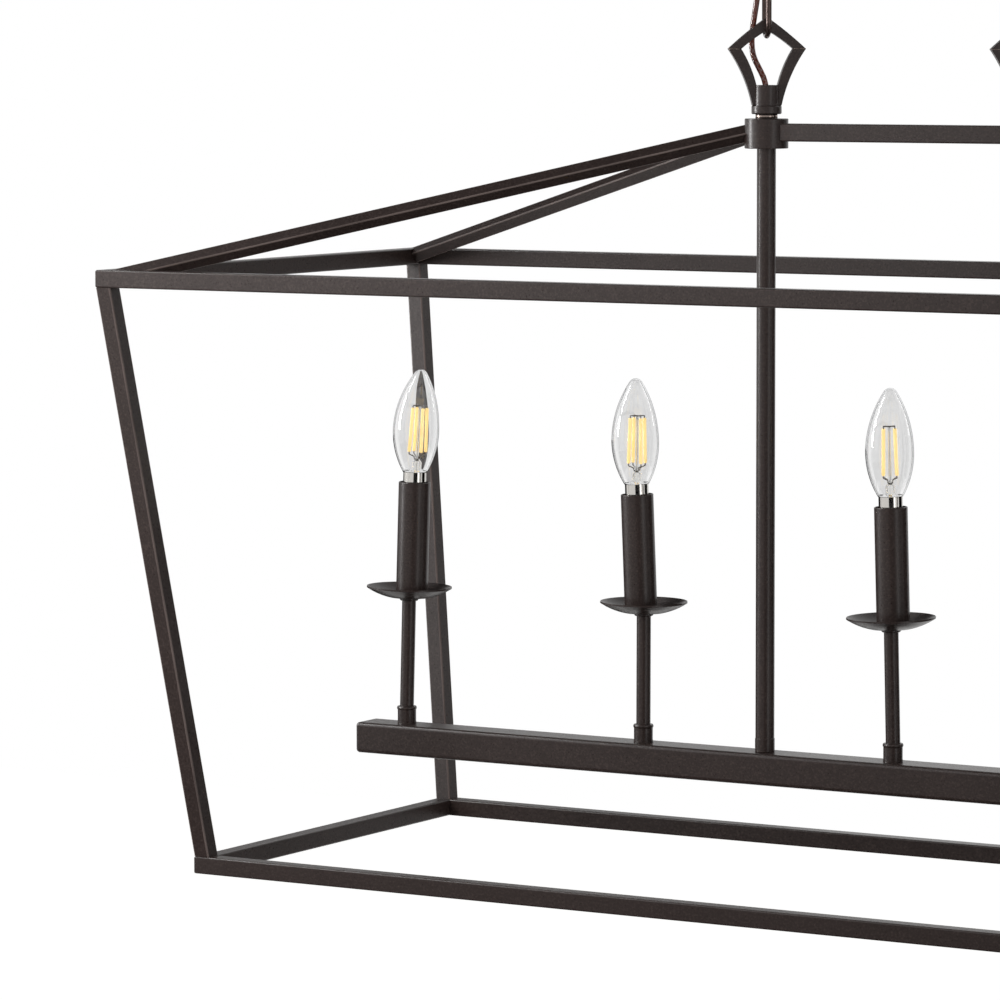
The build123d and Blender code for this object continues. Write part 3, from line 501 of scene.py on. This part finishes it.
def blown_glass(bm):
    """The torpedo glass as one skin, which the wall's thickness is added to afterwards."""
    turned(bm, (neck_r, 0), [
        (lower_centre, glass_belly, neck_angle, lower_steps),
        (upper_centre, glass_belly, tip_angle, upper_steps),
        (0, tip_centre, 90 - tip_angle, tip_steps),
    ], steps=glass_sides)


def draw_tip_aside(bm, drift):
    """Lean the upper glass a little to the right as photographed, as when its tip is drawn off by hand."""
    for vert in bm.verts:
        rise = max(0.0, vert.co.z / MM - glass_belly) / (tip_centre + tip_radius - glass_belly)
        vert.co += view_right * (drift * MM * rise ** drift_bend)


def glass_mount(bm):
    """The flare sealed into the neck, pinched into a press, with the rod that carries the filaments."""
    turned(bm, mount_profile[0], mount_profile[1:], steps=mount_sides)


def on_axis(height):
    """A point on a bulb's axis."""
    return Vector((0, 0, height))


def spokes(number):
    """The directions of a bulb's filaments around its axis."""
    for step in range(filament_count):
        angle = radians(filament_turns[number - 1] + 360 * step / filament_count)
        yield Vector((cos(angle), sin(angle), 0))


def filaments(bm, number):
    """Straight round filaments that lean in towards the tip."""
    for out in spokes(number):
        foot = out * filament_low_r + on_axis(filament_low)
        head = out * filament_high_r + on_axis(filament_high)
        rod(bm, foot, head, filament_d, filament_sides, filament_rounding)


def filament_wires(bm, number):
    """End tabs on the filaments, wires to them from the press, a spider across their heads and its return."""
    spider = on_axis(spider_height)
    rod(bm, on_axis(press_top), spider, return_d, wire_sides)
    for out in spokes(number):
        foot = out * filament_low_r + on_axis(filament_low)
        head = out * filament_high_r + on_axis(filament_high)
        tab = (head - foot).normalized() * tab_length
        seal = out * press_half + on_axis(press_top)
        elbow = out * elbow_r + on_axis(filament_low - 2 * tab_length)
        rod(bm, foot - tab, foot, tab_d, wire_sides)
        rod(bm, head, head + tab, tab_d, wire_sides)
        rod(bm, out * press_inner + on_axis(press_top), seal, wire_d, wire_sides)
        rod(bm, seal, elbow, wire_d, wire_sides)
        rod(bm, elbow, foot - tab, wire_d, wire_sides)
        rod(bm, spider, head + tab, wire_d, wire_sides)


def bulb_place(number):
    """Where a bulb's upright drawing goes: the foot of its glass, leaning as its screw axis does."""
    screw = joints[f"bulb_{number}_turn"]
    lean = Vector((0, 0, 1)).rotation_difference(Vector(screw["axis"])).to_matrix().to_4x4()
    return Matrix.Translation(Vector(screw["pos_m"])) @ lean


for number in range(1, len(filament_turns) + 1):
    place = bulb_place(number)
    aside = Matrix.Translation(view_right * (mount_shifts[number - 1] * MM))
    mount_place = aside @ place @ Matrix.Rotation(radians(mount_leans[number - 1]), 4, view_back)
    body = f"bulb_{number}"

    bm = bmesh.new()
    blown_glass(bm)
    draw_tip_aside(bm, tip_drifts[number - 1])
    bmesh.ops.transform(bm, matrix=place, verts=bm.verts)
    glass = make_piece(f"glass_{number}", bm, clear_glass, body, [f"bulb_glass_{number}"])
    wall = glass.modifiers.new("wall", "SOLIDIFY")
    wall.thickness = glass_wall * MM
    wall.offset = -1

    bm = bmesh.new()
    glass_mount(bm)
    bmesh.ops.transform(bm, matrix=mount_place, verts=bm.verts)
    make_piece(f"glass_mount_{number}", bm, stem_glass, body, [f"bulb_filaments_{number}"])

    bm = bmesh.new()
    filaments(bm, number)
    bmesh.ops.transform(bm, matrix=mount_place, verts=bm.verts)
    make_piece(f"filaments_{number}", bm, phosphor, body, [f"bulb_filaments_{number}"])

    bm = bmesh.new()
    filament_wires(bm, number)
    bmesh.ops.transform(bm, matrix=mount_place, verts=bm.verts)
    make_piece(f"filament_wires_{number}", bm, support_wire, body, [f"bulb_filaments_{number}"])


# Hanging loops: weld seams across the shoulders in paler bare bronze, which also paints a glint there, and
# the bare thread under the check ring
loop_turn = radians(37.0)
loop_across = Vector((cos(loop_turn), sin(loop_turn), 0))
loop_back = Vector((-sin(loop_turn), cos(loop_turn), 0))
shoulder_inner, shoulder_outer = 18.9, 27.5
shoulder_height = 40.2
loop_half_depth = 3.0
seam_d = 0.7
neck_ring_r = 7.95
neck_height = 3.2
neck_edge = 0.3

for end_name in ("left", "right"):
    low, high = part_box(f"loop_{end_name}")
    axis_x = (low.x + high.x) / 2
    bm = bmesh.new()
    for side in (-1, 1):
        for face in (-1, 1):
            proud = loop_back * (face * loop_half_depth) + Vector((0, 0, shoulder_height))
            inner = loop_across * (side * shoulder_inner) + proud
            outer = loop_across * (side * shoulder_outer) + proud
            rod(bm, inner, outer, seam_d, wire_sides)
    bmesh.ops.translate(bm, verts=bm.verts, vec=(axis_x, 0, low.z))
    # The seams' paler bare bronze is partly a painted glint along the shoulders
    make_piece(f"loop_seams_{end_name}", bm, thread_bronze, "lantern")

    neck_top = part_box(f"hub_{end_name}")[1].z
    bm = bmesh.new()
    turned(bm, (neck_ring_r - neck_edge, -neck_height), [
        (neck_ring_r, neck_edge - neck_height),
        (neck_ring_r, -neck_edge),
        (neck_ring_r - neck_edge, 0),
    ])
    bmesh.ops.translate(bm, verts=bm.verts, vec=(axis_x, 0, neck_top))
    make_piece(f"hub_thread_{end_name}", bm, thread_bronze, "lantern")


# Supply cord: to the right of the left chain's axis, behind it, and above the loop's base, in millimetres
cord_route = [
    (0.0, 0.0, 9.0),
    (-0.8, 0.2, 17.0),
    (-4.8, 1.4, 25.5),
    (-9.4, 4.0, 34.5),
    (-10.6, 6.6, 44.5),
    (-9.6, 7.6, 55.5),
    (-7.8, 8.0, 67.0),
    (-6.0, 8.2, 79.0),
    (-6.2, 8.0, 92.0),
    (-7.6, 8.6, 105.0),
    (-10.0, 9.6, 117.0),
    (-11.8, 10.6, 129.0),
    (-12.0, 10.8, 142.0),
]
cord_d = 4.2
core_d = 1.3
core_offset = 0.85
core_twist = 70.0
height_slack = 0.01
loop_low, loop_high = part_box("loop_left")
chain_foot = Vector(((loop_low.x + loop_high.x) / 2, 0, loop_low.z))
route = []
for right, back, up in cord_route:
    route.append(chain_foot + (view_right * right + view_back * back + Vector((0, 0, up))) * MM)


def curve_mesh(curve):
    """The mesh that a curve makes; the object that held the curve is taken away again."""
    holder = bpy.data.objects.new(curve.name + "_holder", curve)
    scene.collection.objects.link(holder)
    bpy.context.view_layer.update()
    mesh = bpy.data.meshes.new_from_object(holder.evaluated_get(bpy.context.evaluated_depsgraph_get()))
    bpy.data.objects.remove(holder)
    return mesh


line = bpy.data.curves.new("cord_line", "CURVE")
line.dimensions = "3D"
line.resolution_u = 10
spline = line.splines.new("NURBS")
spline.points.add(len(route) - 1)
for point, place in zip(spline.points, route):
    point.co = (*place, 1)
spline.order_u = 3
spline.use_endpoint_u = True
line_mesh = curve_mesh(line)
cord_path = [v.co.copy() for v in line_mesh.vertices]
bpy.data.meshes.remove(line_mesh)


def cord_tube(name, path, thickness, material, offset=0.0):
    """A mesh tube along points of the cord's line, or a thinner one that winds around it at an offset."""
    curve = bpy.data.curves.new(name, "CURVE")
    curve.dimensions = "3D"
    curve.bevel_depth = thickness * MM / 2
    curve.bevel_resolution = 5
    curve.use_fill_caps = True
    poly = curve.splines.new("POLY")
    poly.points.add(len(path) - 1)
    for point, place in zip(poly.points, path):
        angle = place.z / MM * 2 * pi / core_twist
        aside = (view_right * cos(angle) + view_back * sin(angle)) * offset * MM
        point.co = (*(place + aside), 1)
    mesh = curve_mesh(curve)
    mesh.name = name
    mesh.materials.clear()
    mesh.materials.append(material)
    mesh.shade_smooth()
    tube = bpy.data.objects.new(name, mesh)
    scene.collection.objects.link(tube)
    return tube


def cord_height(point):
    """How far a point of the cord is above the loop's base, in millimetres."""
    return (point.z - chain_foot.z) / MM


# Each stretch of the cord, from one height to another, and the two bodies that it passes between
stretches = [
    ("lower", 0.0, 57.0, "lantern", "lower_chains"),
    ("middle", 57.0, 96.0, "lower_chains", "upper_chain_left"),
    ("upper", 96.0, 143.0, "upper_chain_left", "canopy"),
]
for name, start_h, end_h, first_body, second_body in stretches:
    inside = [p for p in cord_path if start_h - height_slack <= cord_height(p) <= end_h + height_slack]
    following = [p for p in cord_path if cord_height(p) > end_h + height_slack]
    path = inside + following[:1]
    tube = cord_tube(f"cord_{name}", path, cord_d, vinyl)
    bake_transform(tube)
    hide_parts("supply_cord")
    for letter, side in (("a", -1), ("b", 1)):
        core = cord_tube(f"cord_{name}_copper_{letter}", path, core_d, copper, offset=core_offset * side)
        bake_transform(core)


# Stage, light and camera, in metres

middle = Vector((0, 0, -0.5))
floor_z = -1.75
floor_width = 12
floor_glow = 0.76
world_matt, world_seen = 0.3, 1.0


def seen_directly(tree):
    """1 for the rays that see a surface from the camera, in a mirror or through glass, and 0 for the rest."""
    path = add(tree, "ShaderNodeLightPath")
    either = add(tree, "ShaderNodeMath", {"operation": "MAXIMUM"}, {
        0: path.outputs["Is Camera Ray"], 1: path.outputs["Is Glossy Ray"]})
    seen = add(tree, "ShaderNodeMath", {"operation": "MAXIMUM"}, {
        0: either.outputs[0], 1: path.outputs["Is Transmission Ray"]})
    return seen.outputs[0]


def pale_floor():
    """A pale matt floor, plain white but for the object's soft shade, and clear when seen from below."""
    material, tree = blank_material("pale_floor")
    matt = add(tree, "ShaderNodeBsdfDiffuse", None, {"Color": paint("#ecebe8")})
    strength = add(tree, "ShaderNodeMath", {"operation": "MULTIPLY"}, {0: seen_directly(tree), 1: floor_glow})
    glow = add(tree, "ShaderNodeEmission", None, {
        "Color": paint("#ffffff"), "Strength": strength.outputs[0]})
    both = add(tree, "ShaderNodeAddShader", None, {0: matt.outputs[0], 1: glow.outputs[0]})
    side = add(tree, "ShaderNodeNewGeometry")
    clear = add(tree, "ShaderNodeBsdfTransparent")
    one_sided = add(tree, "ShaderNodeMixShader", None, {
        0: side.outputs["Backfacing"], 1: both.outputs[0], 2: clear.outputs[0]})
    finish_material(tree, one_sided)
    return material


def black_felt():
    """Black felt on the studio's flags, which metal shows as its dark bands."""
    material, tree = blank_material("black_felt")
    finish_material(tree, add(tree, "ShaderNodeBsdfDiffuse", None, {"Color": paint("#0d0d0d")}))
    return material


felt = black_felt()


def stage_sheet(name, size, matrix, material):
    """A flat rectangle of the studio, set in place by a matrix."""
    bm = bmesh.new()
    bmesh.ops.create_grid(bm, x_segments=1, y_segments=1, size=0.5)
    bmesh.ops.transform(bm, matrix=matrix @ Matrix.Diagonal((*size, 1, 1)), verts=bm.verts)
    mesh = bpy.data.meshes.new(name)
    bm.to_mesh(mesh)
    bm.free()
    mesh.materials.append(material)
    sheet = bpy.data.objects.new(name, mesh)
    scene.collection.objects.link(sheet)
    return sheet


def around(right, up, distance):
    """A place around the lantern's middle, by degrees to the right of the camera and up, that looks at it."""
    heading = view_turn + radians(right)
    out = Vector((sin(heading) * cos(radians(up)), -cos(heading) * cos(radians(up)), sin(radians(up))))
    return Matrix.Translation(middle + out * distance) @ out.to_track_quat("Z", "Y").to_matrix().to_4x4()


def flag(name, place, size):
    """A black flag that shows only in reflections."""
    sheet = stage_sheet(name, size, place, felt)
    sheet.visible_camera = False
    sheet.visible_transmission = False
    sheet.visible_diffuse = False
    sheet.visible_shadow = False


def soft_box(name, place, size, power, gloss=True, matt=True):
    """A rectangular area lamp, with or without its glint and its matt light, and not seen through glass."""
    lamp = bpy.data.lights.new(name, "AREA")
    lamp.shape = "RECTANGLE"
    lamp.size, lamp.size_y = size
    lamp.energy = power
    box = bpy.data.objects.new(name, lamp)
    box.matrix_world = place
    box.visible_glossy = gloss
    box.visible_diffuse = matt
    box.visible_transmission = False
    scene.collection.objects.link(box)


stage_sheet("floor", (floor_width, floor_width), Matrix.Translation((0, 0, floor_z)), pale_floor())

# Flags and lamps: degrees right and up, metres away, then width and height in metres, and a lamp's watts
flag("front_flag", around(0, -16, 2.2), (1.8, 1.3))
flag("top_flag", around(0, 84, 1.6), (2.4, 2.0))
flag("low_flag", around(0, -85, 0.95), (2.4, 2.0))
flag("right_flag", around(104, 2, 2.7), (2.3, 2.8))
flag("left_low_flag", around(-66, -24, 2.2), (2.6, 0.9))
flag("hip_flag_high", around(-154, 30, 2.6), (1.8, 1.3))
flag("hip_flag_low", around(-154, -15, 1.35), (1.4, 0.7))

world = bpy.data.worlds.new("studio")
scene.world = world
world.use_nodes = True
sky_tree = world.node_tree
sky_tree.nodes.clear()
sky_strength = add(sky_tree, "ShaderNodeMapRange", None, {
    "Value": seen_directly(sky_tree), "To Min": world_matt, "To Max": world_seen})
sky = add(sky_tree, "ShaderNodeBackground", None, {
    "Color": paint("#ffffff"), "Strength": sky_strength.outputs[0]})
add(sky_tree, "ShaderNodeOutputWorld", None, {"Surface": sky.outputs[0]})

soft_box("key_box", around(-70, 15, 1.5), (0.6, 0.6), 16, gloss=False)
soft_box("front_box", around(-69, 15, 2.5), (1.0, 1.5), 3.6)
soft_box("left_strip", around(-97, 22, 2.4), (0.4, 1.8), 92, matt=False)
soft_box("fill_box", around(35, 2, 3.0), (0.5, 2.4), 10)
soft_box("rim_box", around(112, 24, 2.4), (0.2, 1.4), 5)
soft_box("high_box", around(8, 52, 1.7), (1.4, 0.7), 2, gloss=False)
soft_box("right_box", around(60, 10, 2.2), (0.8, 0.8), 8, gloss=False)
soft_box("back_box", around(175, 12, 2.2), (1.2, 0.9), 20, gloss=False)
soft_box("top_box", around(-20, 80, 2.2), (2.4, 1.6), 4, gloss=False)

# The camera stands to the right of the lantern and in front of it, above the cage's top
camera_x, camera_y, camera_above = 1.6885, -3.3361, 0.1811
camera_down, camera_roll = 0.0909, 0.0019
camera_data = bpy.data.cameras.new("camera")
camera_data.lens = 190.78
camera_data.sensor_width = 36.0
camera_data.clip_end = 30.0
camera = bpy.data.objects.new("camera", camera_data)
cage_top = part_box("top_rail_front")[1].z
heading = Matrix.Rotation(view_turn, 4, "Z")
pitch = Matrix.Rotation(pi / 2 - camera_down, 4, "X")
roll = Matrix.Rotation(-camera_roll, 4, "Z")
stand = Matrix.Translation((camera_x, camera_y, cage_top + camera_above))
camera.matrix_world = stand @ heading @ pitch @ roll
scene.collection.objects.link(camera)
scene.camera = camera
